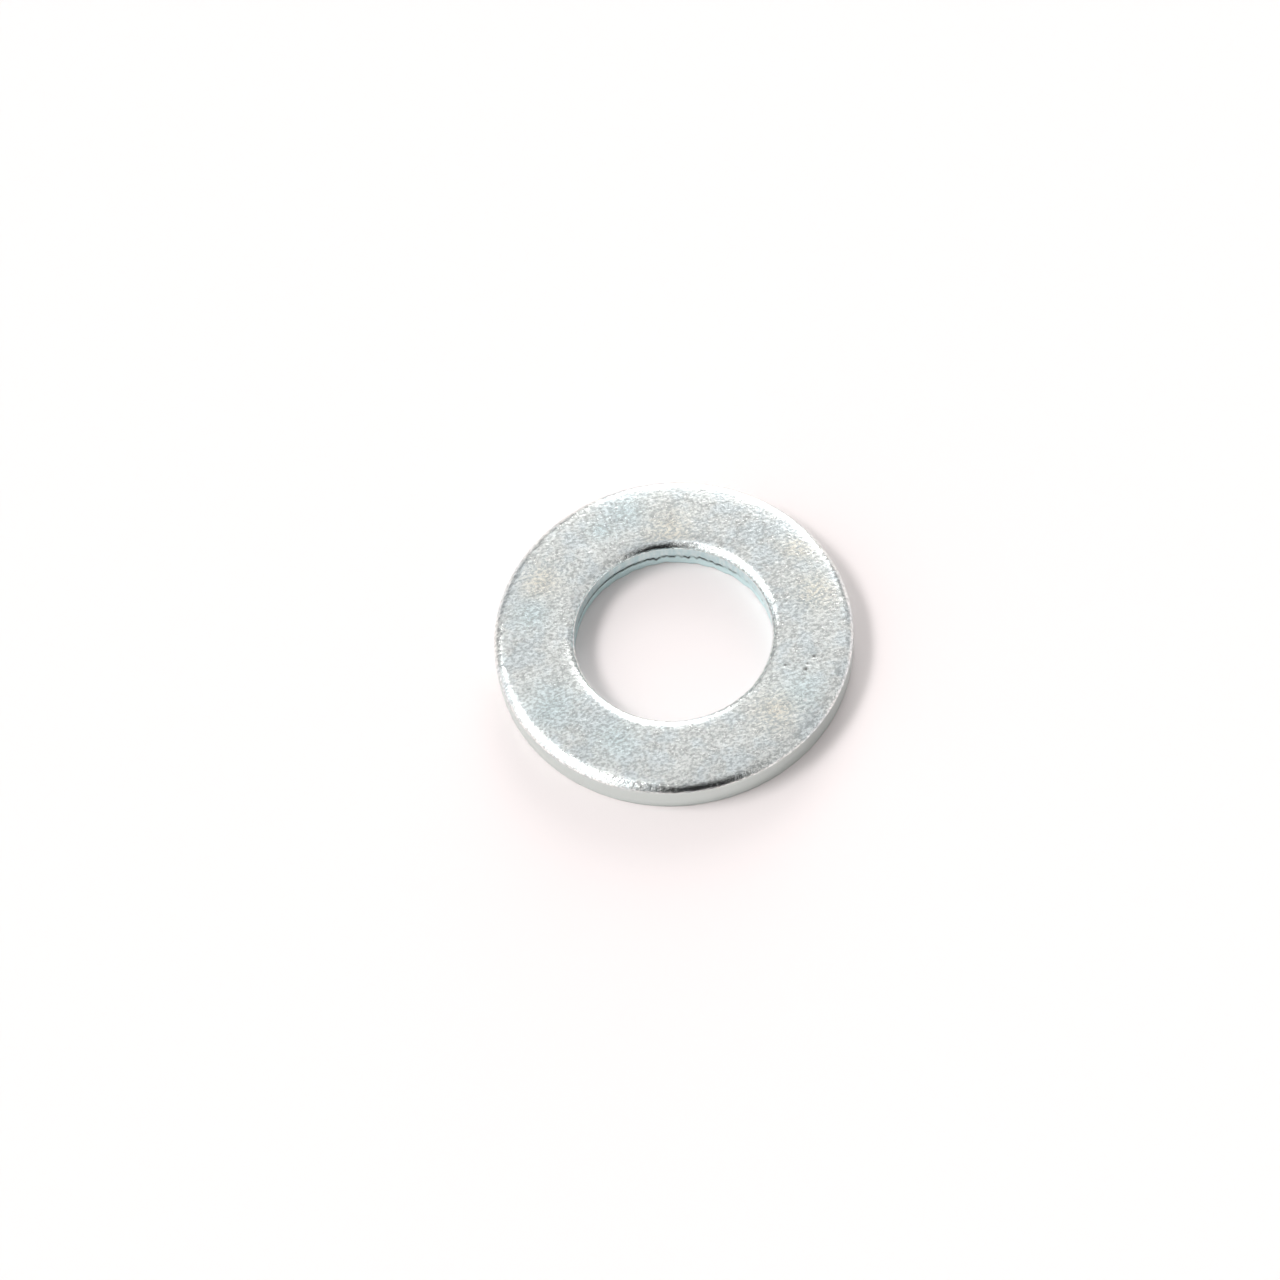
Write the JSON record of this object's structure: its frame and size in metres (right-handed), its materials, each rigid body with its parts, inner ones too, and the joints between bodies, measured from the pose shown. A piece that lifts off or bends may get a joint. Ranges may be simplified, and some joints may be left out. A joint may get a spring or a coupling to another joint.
{
  "type": "flat washer",
  "caption": "Flat round washer with a plain central bore, blanked from sheet steel and zinc plated, with rolled upper edges; spreads a screw head's load.",
  "frame": {"origin": "on the bore axis, on the flat lower (burr-side) face, which is the face the washer lies on", "axes": "+Z along the bore axis, from the lower face towards the face with the rolled edges; the ring is round about Z, so X and Y are any two directions across it"},
  "size_m": [0.0238, 0.0238, 0.0024],
  "materials": {
    "zinc_plate": "satin"
  },
  "bodies": {
    "root": {"washer": "zinc_plate"}
  },
  "joints": []
}
